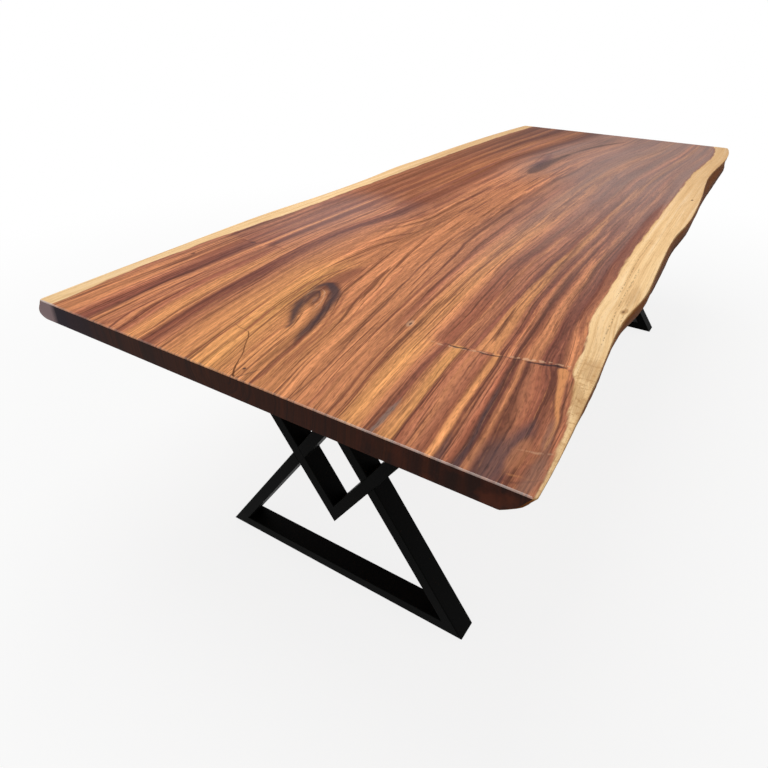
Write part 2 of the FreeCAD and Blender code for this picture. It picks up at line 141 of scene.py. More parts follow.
# the slab's grain, all in millimetres: x from the near end, y from the right side
grain = {
    "pithLine": {
        0: 585, 150: 617, 322: 641, 600: 671, 750: 680, 1000: 683, 1500: 687, 1780: 690, 2200: 655,
        2450: 615, 2710: 590},
    # the pith's depth under the top, as the lines on each side of it show; below 0 knots push them apart
    "rightDepth": {
        0: 0, 200: 0, 250: 10, 300: 24, 350: 40, 400: 50, 500: 57, 600: 64, 700: 72, 800: 80, 900: 88,
        1000: 95, 1200: 104, 1500: 110, 1640: 110, **farKnot},
    "leftDepth": {
        0: 0, 130: -2, 240: -8, 330: -13, 430: -12, 520: 0, 600: 16, 700: 34, 780: 56, 850: 84, 930: 104,
        1000: 112, 1640: 112, **farKnot},
    "tipRadius": 9,  # how blunt the pointed arches are
    "heartReach": (450, 850, 105, 170),  # from one x to another, how far from the pith line the grain bends
    "sideBlend": 14,  # off the pith line, where one side of it gives way to the other
    "straightLine": 650,
    # share of the curve of the pith line and of the edge line that the grain follows, by y
    "followPith": {
        0: 0.1, 150: 0.25, 300: 0.6, 430: 1, 800: 1, 850: 0.95, 930: 0.45, 980: 0.3, 1060: 0.2, 1179: 0.15},
    "followEdge": {0: 1, 60: 0.95, 120: 0.7, 200: 0.4, 300: 0.08, 400: 0, 1179: 0},
    "leftSapLine": {
        0: 1090, 100: 1098, 200: 1108, 400: 1115, 500: 1117, 560: 1113, 980: 1100, 1400: 1101, 2000: 1095,
        2380: 1085, 2710: 1060},
    "rightSapLine": {0: 4, 50: 7, 100: 13, 150: 18, 200: 28, 300: 50, 350: 68, 450: 80, **rightHollow},
    "edgeLine": {0: 50, 100: 52, 200: 58, 300: 69, 350: 77, 450: 86, **rightHollow},
    "edgeMiddle": 150,
    "sway": (330, 95, 4),  # length, width and depth of the slow waves in the grain
    "sideJump": 900,  # keeps the streaks of the two sides apart
    "scarPlace": (312, 345, 0.155),  # where the right scar starts, and how it slants towards the edge
    "crossPlace": 538,  # the mark across the left; the bands differ before and beyond both
    "rightChange": (320, 380, 3, 110),  # from one y to another, how long the change there takes
    "leftChange": (900, 940, 110, 18),
    # tones by distance from the pith, before and beyond those marks
    "bandReach": 620,
    "bandShift": 5,  # how far they stray
    "leftBands": {
        0: "amber", 40: "gold", 120: "amber", 172: "orange", 184: "russet", 190: "plum", 197: "brown",
        207: "plum", 213: "brown", 220: "orange", 226: "amber", 245: "amber", 258: "orange", 268: "russet",
        276: "brown", 284: "brown", 290: "orange", 298: "russet", 304: "orange", 310: "russet",
        318: "orange", 328: "orange", 336: "russet", 342: "plum", 372: "brown", 380: "russet",
        395: "orange", 450: "orange", 458: "russet", 620: "russet"},
    "leftFarBands": {
        0: "orange", 150: "orange", 184: "russet", 193: "plum", 205: "plum", 209: "russet", 214: "brown",
        220: "russet", 230: "orange", 262: "orange", 282: "russet", 293: "plum", 305: "plum", 314: "russet",
        320: "amber", 326: "russet", 334: "plum", 342: "brown", 352: "russet", 364: "russet", 374: "plum",
        386: "brown", 400: "russet", 412: "brown", 420: "russet", 436: "russet", 446: "brown",
        620: "brown"},
    "rightBands": {
        0: "amber", 185: "orange", 256: "orange", 264: "amber", 285: "gold", 310: "amber", 318: "orange",
        325: "russet", 330: "plum", 339: "plum", 343: "orange", 354: "gold", 365: "gold", 370: "plum",
        374: "brown", 383: "russet", 389: "orange", 395: "russet", 404: "brown", 409: "amber", 415: "amber",
        420: "plum", 427: "russet", 434: "brown", 439: "ink", 445: "plum", 450: "orange", 458: "plum",
        467: "russet", 476: "brown", 487: "plum", 512: "russet"},
    "rightFarBands": {
        0: "orange", 183: "orange", 189: "brown", 195: "orange", 214: "brown", 222: "russet", 230: "orange",
        250: "amber", 278: "amber", 300: "orange", 312: "russet", 318: "brown", 342: "brown", 349: "orange",
        357: "russet", 371: "russet", 377: "plum", 385: "plum", 389: "amber", 406: "amber", 411: "russet",
        418: "plum", 424: "brown", 428: "orange", 432: "russet", 437: "ink", 443: "brown", 455: "orange",
        464: "orange", 475: "plum", 493: "plum", 502: "orange"},
    "leftHalf": (40, 180),  # off the pith line, where each half begins and is full
    "rightHalf": (-60, -240),
    # where things change along x, and from which share to which
    "rightFade": (900, 1800, 0, 0.45),
    "lineFade": (700, 1900, 1, 0.5),
    "streakFade": (800, 1700),
    "sapFade": (1000, 1950, 0, 0.43),
    "curlFade": (460, 360),
    # the same along y
    "sapRight": (320, 220),
    "endRed": (340, 120),
    "endBlue": (900, 1060, 0, 0.8),
    "endGrey": (1080, 1100, 0, 0.7),
    "plainStretch": (0.45, 0.7, 0, 0.4),  # between these values of the noise, bands fade by this share
    # slow change of the whole tone down the slab: where, towards which tone, and how much of it. The grey
    # slate and mauve tones are painted reflection, a sheen on the top; elsewhere it grows darker towards
    # the far left
    "leftDriftAndSheen": [
        (0, "dusk", 0), (150, "dusk", 0), (400, "dusk", 0.2), (700, "slate", 0.2), (950, "slate", 0.2),
        (1150, "rust", 0.36), (1450, "rust", 0.56), (1750, "rust", 0.56), (2100, "umber", 0.52),
        (2710, "night", 0.6)],
    "middleDriftAndSheen": [
        (0, "rust", 0), (600, "rust", 0.12), (925, "umber", 0.36), (1200, "umber", 0.34),
        (1500, "umber", 0.2), (1800, "slate", 0.38), (2350, "slate", 0.52), (2710, "slate", 0.55)],
    # painted reflection: the right half greys towards mauve down the slab, a sheen on the top
    "rightPaintedSheen": [
        (0, "mauve", 0), (500, "mauve", 0.02), (925, "mauve", 0.24), (1450, "mauve", 0.5),
        (1750, "mauve", 0.62), (2710, "mauve", 0.64)],
    "broadStreak": (1100, 38),  # length and width of each layer of streaks
    "wideStreak": (900, 24),
    "streak": (620, 12),
    "smear": (260, 17),
    "fineLine": (430, 6),
    "brightLine": (380, 4.2),
    "hairLine": (300, 2.6),
    "fleck": (26, 3.4),
    "pore": (18, 2.0),  # really 0.2 mm wide, drawn coarse enough to show
    "sapBorder": (90, 14, 9),  # length, width and depth of its ragged teeth
    "stain": (80, 24),
    "curl": (11, 17),
    "barkStreak": (120, 9),
    "shake": (16, 7, 6),  # size of the noise that makes marks ragged, and how far it moves them
    "gaps": 11,  # size of the gaps in broken lines, and of the patches on the end grain and of the painted highlight on its arris
    "endPatch": 45,
    "highlightPatch": 30,
}

# lines on the wood: which way each runs (along x, along y or with the grain), tone, softness, cover, path,
# and half width on the way, in mm. A path with the grain is given off the line that the grain follows.
# True breaks the line up
marks = [
    # near knot: a dusky plume and an arch over its head, two dark arms, and pale and dark rings inside them
    ("x", "plum", 16, 0.72, {380: 660, 430: 664, 480: 665, 530: 662},
     {360: -9, 410: 20, 450: 24, 500: 20, 535: 10, 560: -9}),
    ("x", "plum", 3, 0.75, {280: 683, 340: 697, 400: 707, 450: 705, 500: 696, 540: 683},
     {262: -4, 300: 1, 400: 2, 500: 2, 560: -4}),
    ("x", "plum", 2.5, 0.7, {415: 626, 470: 629, 500: 631, 530: 627},
     {405: -4, 430: 1.5, 500: 1.5, 545: -4}),
    ("x", "ink", 15, 0.66, {205: 607, 225: 617, 250: 632, 280: 648, 310: 660, 350: 669, 390: 670, 420: 660},
     {180: -9, 210: 3, 250: 12, 290: 16, 330: 12, 370: 10, 405: 18, 425: 12, 440: -9}),
    ("x", "ink", 14, 0.66, {150: 549, 190: 559, 220: 567, 260: 578, 300: 591, 340: 606, 370: 619, 400: 637,
     425: 656}, {80: -9, 140: 2, 190: 8, 250: 11, 320: 12, 380: 16, 410: 20, 428: 12, 442: -9}),
    ("x", "char", 9, 0.8, {205: 605, 225: 614, 250: 630, 275: 643, 300: 654, 330: 664, 360: 675, 390: 681,
     418: 672}, {186: -8, 205: 3, 250: 8, 290: 10, 325: 5, 355: 2, 390: 4, 415: 6, 430: -8}),
    ("x", "char", 9, 0.82, {150: 550, 190: 558, 220: 565, 260: 576, 300: 588, 340: 603, 370: 615, 395: 632,
     412: 650, 424: 664},
     {132: -8, 170: 2, 195: 7, 220: 8, 300: 9, 340: 10, 380: 13, 405: 17, 420: 12, 436: -8}),
    ("x", "pale", 2.2, 0.42, {285: 607, 330: 622, 360: 635, 380: 650, 390: 664},
     {262: -4, 300: 0.8, 350: 1.2, 380: 2, 394: -4}),
    ("x", "pale", 2.2, 0.3, {330: 667, 355: 674, 378: 673, 392: 662}, {318: -4, 345: 1, 385: 1.4, 396: -4}),
    ("x", "ink", 3, 0.6, {296: 622, 330: 632, 355: 644, 374: 658},
     {284: -4, 310: 2, 350: 2, 370: 2, 382: -4}),
    ("x", "char", 4, 0.75, {300: 645, 330: 654, 355: 661, 374: 662},
     {286: -6, 310: 3, 335: 5, 358: 9, 372: 6, 384: -6}),
    ("x", "char", 3, 0.7, {306: 632, 330: 636, 350: 643, 366: 652, 376: 662},
     {296: -5, 316: 1.5, 345: 2, 368: 3, 382: -5}),
    # lines beside the knot
    ("x", "brown", 4, 0.65, {40: 588, 100: 599, 150: 605, 200: 610},
     {20: -5, 80: 1.5, 150: 2, 205: 1, 225: -5}),
    ("x", "brown", 3, 0.75, {90: 689, 150: 698, 200: 709, 240: 717, 300: 727},
     {60: -4, 100: 1.8, 200: 1.5, 260: 0.5, 320: -4}),
    ("x", "brown", 4, 0.7, {90: 653, 150: 663, 200: 675, 250: 688, 290: 694},
     {60: -5, 120: 1.5, 190: 4, 230: 4, 255: 1, 300: -5}),
    ("x", "brown", 2.5, 0.75, {60: 506, 100: 515, 200: 536, 300: 565, 350: 583, 400: 602, 440: 612},
     {40: -4, 100: 1.3, 300: 1.8, 400: 1, 450: -4}),
    ("x", "brown", 2.5, 0.7, {60: 497, 130: 515, 200: 527, 300: 552, 400: 570, 480: 584, 560: 601},
     {40: -4, 120: 1, 300: 1.5, 450: 1, 580: -4}),
    ("x", "brown", 3, 0.65, {180: 501, 300: 517, 380: 532, 450: 547, 560: 568, 660: 592},
     {150: -4, 250: 1, 420: 2, 600: 1.5, 700: -4}),
    ("grain", "brown", 3, 0.55, {0: 92, 80: 84, 150: 80, 230: 86, 350: 97, 450: 100, 600: 80, 700: 64,
     780: 40, 850: 5}, {-10: 1.5, 200: 1.5, 450: 2, 700: 1.5, 860: -4}),
    ("grain", "plum", 4, 0.75, {0: -70, 60: -76, 130: -76, 200: -68}, {-10: 3, 60: 3.5, 150: 4, 230: -5}),
    ("grain", "ink", 2.5, 0.75, {0: -155, 60: -163, 130: -170, 200: -166, 300: -156, 400: -150, 500: -140,
     600: -131, 700: -121, 830: -105, 900: -98}, {-10: 1.5, 300: 1.8, 700: 2.8, 850: 1.8, 930: -4}),
    ("grain", "plum", 6, 0.6, {0: -196, 60: -198, 140: -204}, {-10: 5, 60: 4, 120: 1, 165: -6}),
    ("grain", "brown", 2.5, 0.7, {0: -241, 200: -237, 340: -238, 500: -233, 700: -226},
     {-10: 1, 250: 1.5, 600: 1.2, 760: -4}),
    ("grain", "brown", 2.5, 0.7, {0: -260, 120: -258, 260: -254, 330: -254}, {-10: 1.5, 200: 1.2, 350: -4}),
    # check at the near end, and its fork
    ("y", "umber", 2.2, 0.9, {550: 0, 557: 2, 580: 32, 602: 72, 622: 100, 643: 130, 656: 143},
     {546: -3, 556: 3.4, 580: 2.8, 602: 1.8, 640: 1.9, 654: 1.3, 661: -3}),
    ("y", "ink", 1.6, 0.75, {650: 141, 680: 146, 706: 153}, {648: -3, 660: 0.7, 695: 0.6, 710: -3}),
    ("x", "char", 2, 0.7, {0: 552, 30: 541, 66: 524}, {-10: 1, 40: 0.8, 72: -3}),
    # dark lines and a plum swell on the left, and the bands beyond it
    ("grain", "ink", 2.5, 0.8, {0: 335, 100: 338, 200: 345, 350: 347, 500: 343, 560: 338},
     {-10: 1.5, 100: 2.5, 350: 3, 530: 2, 580: -4}),
    ("grain", "ink", 2, 0.65, {60: 306, 200: 308, 300: 315, 400: 320, 520: 318},
     {40: -3, 100: 1, 300: 1.5, 500: 1.5, 550: -3}),
    ("grain", "plum", 2.5, 0.6, {0: 303, 80: 297, 170: 297}, {-10: 2, 100: 1.5, 190: -3}),
    ("grain", "brown", 2.5, 0.6, {0: 237, 60: 226, 140: 217}, {-10: 1.2, 100: 1, 160: -3}),
    ("grain", "plum", 6, 0.7, {240: 380, 350: 388, 535: 392}, {220: -8, 320: 2, 420: 12, 531: 13, 540: -8}),
    ("grain", "plum", 6, 0.6, {980: 205, 1100: 195, 1250: 191, 1600: 189, 1850: 180},
     {950: -8, 1060: 4, 1250: 7, 1700: 8, 1900: -8}),
    ("grain", "brown", 4, 0.6, {860: 89, 900: 81, 950: 76, 1020: 69, 1060: 70},
     {845: -4, 900: 2.5, 1000: 2.5, 1080: -4}),
    ("grain", "brown", 4, 0.6, {1150: 83, 1200: 89, 1250: 90, 1300: 84},
     {1130: -4, 1220: 4, 1280: 3, 1330: -4}),
    # far knot and its tail, the thin line above it and the band that climbs beyond it
    ("x", "dusk", 18, 0.6, {1840: 708, 1950: 718, 2040: 731, 2110: 746},
     {1780: -9, 1880: 16, 1980: 17, 2060: 12, 2140: -9}),
    ("x", "night", 12, 0.7, {1700: 688, 1760: 690, 1830: 693, 1900: 695, 1980: 689, 2060: 682, 2120: 676},
     {1690: -9, 1715: 10, 1760: 23, 1830: 27, 1900: 24, 1980: 18, 2060: 12, 2120: 7, 2170: -9}),
    ("x", "night", 9, 0.55, {2060: 684, 2140: 674, 2218: 663, 2319: 640, 2406: 615, 2511: 571, 2580: 540},
     {2040: -9, 2100: 8, 2218: 7, 2320: 9, 2420: 12, 2520: 8, 2620: -9}),
    ("grain", "plum", 5, 0.7, {1640: 42, 1750: 46, 1900: 54, 1980: 70, 2080: 94},
     {1600: -5, 1700: 1, 1900: 2, 2050: 5, 2110: -5}),
    ("grain", "dusk", 14, 0.4, {1950: 195, 2100: 208, 2250: 222, 2350: 236, 2500: 245, 2620: 242},
     {1900: -9, 2050: 8, 2300: 12, 2500: 8, 2680: -9}),
    # near right corner: a smoky patch, a strip of gold beside the sapwood, and dark lines there
    ("grain", "smoke", 12, 0.7, {0: -472, 60: -474, 110: -481, 165: -489},
     {-10: 14, 60: 17, 110: 13, 150: 6, 190: -8}),
    ("grain", "smoke", 3, 0.5, {0: -444, 100: -442, 200: -440, 300: -439},
     {-10: 5, 60: 3, 200: 1.5, 320: -5}),
    ("grain", "smoke", 4, 0.5, {0: -423, 50: -421, 90: -420}, {-10: 4, 50: 2, 90: -5}),
    ("grain", "amber", 2.5, 0.85, {100: -520, 180: -518, 230: -508, 280: -502, 345: -500},
     {88: -5, 120: 2.5, 180: 3, 230: 4.5, 300: 6, 340: 7, 356: -5}),
    ("grain", "ink", 2.2, 0.75, {40: -527, 100: -526, 150: -524, 220: -519, 280: -512, 330: -508},
     {20: -4, 80: 2, 200: 2, 300: 1, 345: -4}),
    ("grain", "ink", 3, 0.6, {120: -512, 200: -508, 260: -497, 320: -491},
     {100: -5, 170: 1, 260: 1.5, 335: -5}),
    ("y", "amber", 3, 0.45, {14: 34, 60: 26}, {8: -5, 20: 1, 50: 1, 64: -5}),
    ("y", "pale", 3, 0.45, {14: 104, 40: 92, 70: 84}, {8: -5, 20: 2, 50: 2, 76: -5}, True),
    ("y", "ink", 3, 0.5, {4: 44, 40: 14, 60: 10}, {0: -4, 20: 3, 50: 2, 64: -4}),
    ("y", "ink", 3, 0.4, {4: 66, 30: 60, 50: 56}, {0: -4, 20: 2, 40: 1, 56: -4}),
    ("grain", "ink", 3, 0.6, {400: -344, 470: -350, 560: -352, 700: -350, 900: -352},
     {380: -5, 450: 1.5, 560: 2.5, 800: 1.5, 950: -5}),
    ("grain", "ink", 2.5, 0.6, {480: -484, 540: -492, 600: -501, 700: -505},
     {460: -4, 500: 1.5, 650: 1.5, 720: -4}),
    ("grain", "ink", 1.5, 0.7, {330: -398, 400: -396, 480: -393, 560: -391},
     {322: -3, 400: 0.8, 500: 0.8, 580: -3}),
    ("grain", "brown", 3, 0.5, {880: -397, 960: -390, 1050: -384, 1250: -384, 1400: -391},
     {860: -4, 950: 1.5, 1300: 1.5, 1430: -4}),
    ("x", "plum", 6, 0.65, {480: 100, 600: 123, 713: 129, 980: 148, 1255: 157, 1630: 166},
     {440: -8, 560: 8, 900: 12, 1300: 12, 1700: -8}),
    # rows of short dark dashes in the right sapwood
    ("x", "umber", 1.5, 0.55, {440: 52, 560: 62, 713: 77, 850: 84, 980: 93},
     {430: -3, 500: 1, 900: 1, 1000: -3}, True),
    ("x", "umber", 1.5, 0.5, {700: 90, 850: 97, 1000: 108, 1200: 112},
     {680: -3, 760: 1, 1100: 1, 1250: -3}, True),
    ("x", "umber", 1.5, 0.45, {460: 30, 560: 44, 700: 60, 800: 64},
     {440: -3, 520: 1, 700: 1, 830: -3}, True),
    # ragged scar across the grain on the right, pale lips and a dark core
    ("y", "pale", 2.4, 0.6, {75: 362, 95: 360, 125: 353, 150: 346, 170: 341, 200: 331, 235: 324, 260: 316,
     290: 311, 320: 308, 350: 309}, {64: -6, 80: 4, 95: 2, 125: 4, 150: 5, 165: 3, 185: 2, 205: 1, 235: 2,
     248: 3, 262: 1, 300: 2.5, 330: 1.5, 360: -6}, True),
    ("y", "night", 2.2, 0.9, {78: 357, 88: 353, 97: 353, 108: 348, 126: 343, 148: 337, 160: 338, 172: 332,
     186: 332, 200: 327, 224: 321, 238: 322, 252: 318, 266: 318, 280: 314, 300: 314},
     {72: -4, 84: 2, 97: 3, 115: 3.4, 142: 2.2, 154: 0, 172: 1, 190: 0.4, 205: 2.4, 225: 2.6, 240: 1,
     248: -1, 258: 1.6, 276: 2.6, 296: 1.6, 312: -1, 330: -4}),
    # faint cross mark on the left
    ("y", "plum", 6, 0.6, {890: 538, 950: 541, 1010: 531, 1062: 536},
     {880: -9, 905: 0, 950: 3, 985: -1, 1010: 4, 1050: 1, 1085: -9}),
]

# spots: centre, half length and width, turn in degrees, tone and cover
spots = [
    ((338, 648), (44, 15), 24, "ink", 0.52), ((336, 641), (16, 4), 24, "burl", 0.45),
    ((352, 407), (16, 7), 4, "pale", 0.45), ((351, 406), (6, 2.8), 4, "char", 0.8),
    ((33, 560), (4, 3), 0, "char", 0.9), ((383, 1077), (7, 4), 0, "ink", 0.8),
    ((1264, 722), (12, 28), 15, "brown", 0.5), ((1674, 95), (9, 4), 0, "umber", 0.8),
    ((45, 272), (58, 5), 5, "stone", 0.6), ((75, 58), (48, 13), 0, "orange", 0.45),
    ((40, 22), (60, 14), 0, "burl", 0.65), ((140, 36), (50, 8), 10, "burl", 0.5),
    ((38, 34), (30, 6), 0, "plum", 0.35), ((105, 10), (40, 4), 10, "sapShade", 0.4),
    ((531, 1010), (5, 9), 0, "char", 0.6), ((265, 32), (60, 12), 20, "sapBrown", 0.45),
    ((372, 40), (45, 20), 10, "sapBrown", 0.4), ((745, 60), (75, 12), 3, "sapBrown", 0.4),
    ((655, 56), (18, 7), 0, "sapBrown", 0.75), ((652, 57), (6, 3), 0, "umber", 0.6),
    # painted reflection: the mauve and the salmon spots here are a grey sheen laid on the top
    ((2200, 722), (270, 55), -6, "mauve", 0.25), ((2530, 630), (120, 45), -22, "smoke", 0.35),
    ((2290, 662), (190, 26), -14, "smoke", 0.3), ((1860, 700), (230, 80), 0, "smoke", 0.3),
    ((2000, 1045), (620, 42), -2, "umber", 0.38), ((860, 985), (240, 85), 0, "salmon", 0.2),
    ((2200, 555), (280, 50), -10, "salmon", 0.25),
]


# where a point lies in the log: distance from the pith, side of it, and the sapwood on both edges
def woodField(add):
    place = add("TexCoord").node.outputs["Object"]
    corner = (-slabLow.x / mm, -slabLow.y / mm, slabHigh.z / mm)
    at = add("Mapping", {"Vector": place, "Location": corner, "Scale": (1 / mm, 1 / mm, -1 / mm)})
    x, y, z = add("SeparateXYZ", [at]).node.outputs
    shareX = add("Math", [x, slabLength], "DIVIDE")
    shareY = add("Math", [y, slabWidth], "DIVIDE")

    length, width, depth = grain["sway"]
    sway = patches(add, at, length, width, 4)
    sway = add("MapRange", [sway, *wideSpread, -depth, depth])
    swayed = add("Math", [y, sway], "ADD")

    curves = {}
    lift, reach = 50, slabWidth + 50  # keeps every line's values above 0
    for name in ("pithLine", "rightDepth", "leftDepth", "edgeLine", "leftSapLine", "rightSapLine"):
        curves[name] = drawnLine(add, shareX, grain[name], 0, slabLength, lift, reach)

    # distance off the line that the grain follows at this place
    follows = []
    for name in ("followPith", "followEdge"):
        points = [(py / slabWidth, share) for py, share in grain[name].items()]
        follows.append(add("FloatCurve", {"Value": shareY}, curve=points))
    pithDrift = add("Math", [curves["pithLine"], grain["straightLine"]], "SUBTRACT")
    pithDrift = add("Math", [pithDrift, follows[0]], "MULTIPLY")
    edgeDrift = add("Math", [curves["edgeLine"], grain["edgeMiddle"]], "SUBTRACT")
    drift = add("Math", [edgeDrift, follows[1], pithDrift], "MULTIPLY_ADD")
    straight = add("Math", [swayed, grain["straightLine"]], "SUBTRACT")
    off = add("Math", [straight, drift], "SUBTRACT")

    # rings: distance from the pith, which dips under the top and swells at knots
    half = grain["sideBlend"]
    side = add("MapRange", [off, -half, half], **smoothly)
    deepSquare = add("Math", [z, z, grain["tipRadius"] ** 2], "MULTIPLY_ADD")
    square = add("Math", [off, off, deepSquare], "MULTIPLY_ADD")
    radius = add("Math", [square], "SQRT")
    right, left = curves["rightDepth"], curves["leftDepth"]
    bend = add("Mix", [side, right, left], data_type="FLOAT")
    fade = add("MapRange", [x, *grain["heartReach"]])
    fade = add("Math", [off, fade], "DIVIDE")
    fade = add("Math", [fade, fade], "MULTIPLY")
    fade = add("Math", [fade, -1], "MULTIPLY")
    fade = add("Math", [fade], "EXPONENT")
    ring = add("Math", [bend, fade, radius], "MULTIPLY_ADD")
    lane = add("Math", [side, grain["sideJump"], ring], "MULTIPLY_ADD")

    # the same place, shaken a little, for ragged marks
    size, along, across = grain["shake"]
    shake = add("TexNoise", {"Vector": at, "Scale": 1 / size, "Detail": 2}).node.outputs["Color"]
    shake = add("VectorMath", [shake, (0.5, 0.5, 0.5)], "SUBTRACT")
    ragged = add("VectorMath", [shake, (along, across, 0), at], "MULTIPLY_ADD")
    return {"at": at, "x": x, "y": y, "z": z, "shareX": shareX, "shareY": shareY, "off": off, "ring": ring,
            "side": side, "lane": lane, "ragged": ragged, **curves}


# a line through given points, as a float curve, which holds only shares from 0 to 1
def drawnLine(add, share, points, start, end, lift, reach):
    shares = [((a - start) / (end - start), (b + lift) / reach) for a, b in points.items()]
    line = add("FloatCurve", {"Value": share}, curve=shares)
    return add("Math", [line, reach, -lift], "MULTIPLY_ADD")


# patches of noise, of one length along the slab and one width across it
def patches(add, at, length, width, detail, rough=0.5):
    spot = add("Mapping", {"Vector": at, "Scale": (1 / length, 1 / width, 1 / width)})
    return add("TexNoise", {"Vector": spot, "Scale": 1, "Detail": detail, "Roughness": rough})


# one layer of streaks that follow the grain, about 0.5 on average
def grainStreaks(add, field, size, detail, lane="lane"):
    length, width = grain[size]
    run = add("Math", [field["x"], length], "DIVIDE")
    across = add("Math", [field[lane], width], "DIVIDE")
    spot = add("CombineXYZ", [run, across, len(size) * 7.3])  # most layers in a slice of noise of their own
    return add("TexNoise", {"Vector": spot, "Scale": 1, "Detail": detail, "Roughness": 0.6})


def heartwood(add, field):
    broad = grainStreaks(add, field, "broadStreak", 2)
    stray = grain["bandShift"]
    shift = add("MapRange", [broad, *wideSpread, -stray, stray])
    ring = add("Math", [field["ring"], shift], "ADD")
    reach = grain["bandReach"]
    place = add("Math", [ring, reach], "DIVIDE")
    tones = {}
    for name in ("rightBands", "rightFarBands", "leftBands", "leftFarBands"):
        stops = [(far / reach, tone) for far, tone in grain[name].items()]
        tones[name] = add("ValToRGB", {"Fac": place}, stops=stops)
    # beyond the scar and the cross mark other bands follow: a sharp change there, a slow one elsewhere
    start, top, slant = grain["scarPlace"]
    scar = add("Math", [top, field["y"]], "SUBTRACT")
    scar = add("Math", [scar, 0], "MAXIMUM")
    scar = add("Math", [scar, slant, start], "MULTIPLY_ADD")
    halves = []
    for name, line in (("right", scar), ("left", grain["crossPlace"])):
        past = add("Math", [field["x"], line], "SUBTRACT")
        slow = add("MapRange", [field["y"], *grain[name + "Change"]])
        past = add("Math", [past, slow], "DIVIDE")
        past = add("MapRange", [past, -1, 1], **smoothly)
        bands, farBands = tones[name + "Bands"], tones[name + "FarBands"]
        halves.append(add("Mix", [past, bands, farBands]))
    colour = add("Mix", [field["side"], halves[0], halves[1]])

    # long stretches, and the far right, where the bands fade into the even ground of the heart
    leftHalf = add("MapRange", [field["off"], *grain["leftHalf"]], **smoothly)
    rightHalf = add("MapRange", [field["off"], *grain["rightHalf"]], **smoothly)
    fade = add("MapRange", [broad, *grain["plainStretch"]])
    away = add("MapRange", [field["x"], *grain["rightFade"]])
    fade = add("Math", [away, rightHalf, fade], "MULTIPLY_ADD")
    colour = add("Mix", [fade, colour, "russet"])

    # streaks along the rings and straight down the slab, each with its share at the near and the far end
    layers = [
        ("broadStreak", "off", 0.7, 0.7), ("wideStreak", "off", 0.0, 0.8), ("streak", "lane", 0.9, 0.6),
        ("streak", "off", 0.7, 0.5), ("fleck", "off", 0.6, 0.3)]
    for size, lane, near, far in layers:
        streak = grainStreaks(add, field, size, 3, lane)
        share = add("MapRange", [field["x"], *grain["streakFade"], near, far])
        shade = add("MapRange", [streak, *spread, 0.66, 1.33])
        colour = add("Mix", [share, colour, shade], blend_type="MULTIPLY")
    # dark smears through the middle of the slab
    smear = grainStreaks(add, field, "smear", 3, "off")
    smear = add("MapRange", [smear, 0.5, 0.6, 0, 0.72])
    where = add("FloatCurve", {"Value": field["shareX"]}, curve=[
        (0, 0), (0.24, 0.1), (0.36, 1), (0.62, 1), (0.8, 0.5), (1, 0.4)])
    smear = add("Math", [smear, where], "MULTIPLY")
    colour = add("Mix", [smear, colour, "plum"])
    keep = add("MapRange", [field["x"], *grain["lineFade"]])
    # the bright lines are rows of flecks
    broken = add("MapRange", [streak, 0.42, 0.58, 0.35, 1.05])
    broken = add("Math", [broken, keep], "MULTIPLY")
    layers = [
        ("brightLine", "off", 0.55, 0.7, 0.46, "amber", broken),
        ("hairLine", "off", 0.5, 0.7, 0.42, "ink", keep),
        ("fineLine", "lane", 0.56, 0.63, 0.7, "ink", keep)]
    for size, lane, start, end, cover, tone, share in layers:
        line = grainStreaks(add, field, size, 2, lane)
        line = add("MapRange", [line, start, end, 0, cover])
        line = add("Math", [line, share], "MULTIPLY")
        colour = add("Mix", [line, colour, tone])

    # slow change of the whole tone, down the slab and from side to side, with painted reflection: where it
    # turns grey towards slate and mauve it stands for sheen on the top
    cloud = add("MapRange", [broad, *spread, 0.8, 1.2])
    ground = colour
    for name, half in (("middleDriftAndSheen", None), ("leftDriftAndSheen", leftHalf), ("rightPaintedSheen", rightHalf)):
        stops = [(far / slabLength, tone, share) for far, tone, share in grain[name]]
        tone = add("ValToRGB", {"Fac": field["shareX"]}, stops=stops)
        share = add("Math", [tone.node.outputs["Alpha"], cloud], "MULTIPLY")
        withDriftAndSheen = add("Mix", [share, ground, tone])
        if half:
            withDriftAndSheen = add("Mix", [half, colour, withDriftAndSheen])
        colour = withDriftAndSheen
    return colour, line


def sapwood(add, field, colour):
    length, width, depth = grain["sapBorder"]
    ragged = patches(add, field["at"], length, width, 3)
    ragged = add("MapRange", [ragged, 0, 1, -depth, depth])
    lane = add("Math", [field["y"], ragged], "ADD")
    left = add("Math", [lane, field["leftSapLine"]], "SUBTRACT")
    right = add("Math", [field["rightSapLine"], lane], "SUBTRACT")
    into = add("Math", [left, right], "MAXIMUM")

    streak = grainStreaks(add, field, "streak", 3, "off")
    tone = add("ValToRGB", {"Fac": streak}, stops=[(0.3, "sapShade"), (0.52, "sap"), (0.72, "sapLight")])
    away = add("MapRange", [field["x"], *grain["sapFade"]])
    tone = add("Mix", [away, tone, "sapBrown"])
    # cloudy stains, and a curl across the grain near the scar
    stain = patches(add, field["at"], *grain["stain"], 5, 0.65)
    stain = add("MapRange", [stain, 0.5, 0.72, 0, 0.24])
    curl = patches(add, field["at"], *grain["curl"], 5, 0.75)
    curl = add("MapRange", [curl, 0.5, 0.6, 0, 0.6])
    thin = grainStreaks(add, field, "hairLine", 2, "off")
    thin = add("MapRange", [thin, 0.52, 0.68, 0, 0.4])
    onRight = add("MapRange", [field["y"], *grain["sapRight"]])
    curled = add("MapRange", [field["x"], *grain["curlFade"]])
    curled = add("Math", [curled, onRight], "MULTIPLY")
    curl = add("Math", [curl, curled], "MULTIPLY")
    for share in (thin, stain, curl):
        tone = add("Mix", [share, tone, "sapBrown"])
    lit = add("MapRange", [onRight, 0, 1, 1.03, 1.1])  # paler on the right
    tone = add("Mix", [1, tone, lit], blend_type="MULTIPLY")
    edge = add("MapRange", [into, -6, -1, 0, 0.5], **smoothly)
    colour = add("Mix", [edge, colour, "brown"])
    inside = add("MapRange", [into, -2, 4], **smoothly)
    return add("Mix", [inside, colour, tone]), inside


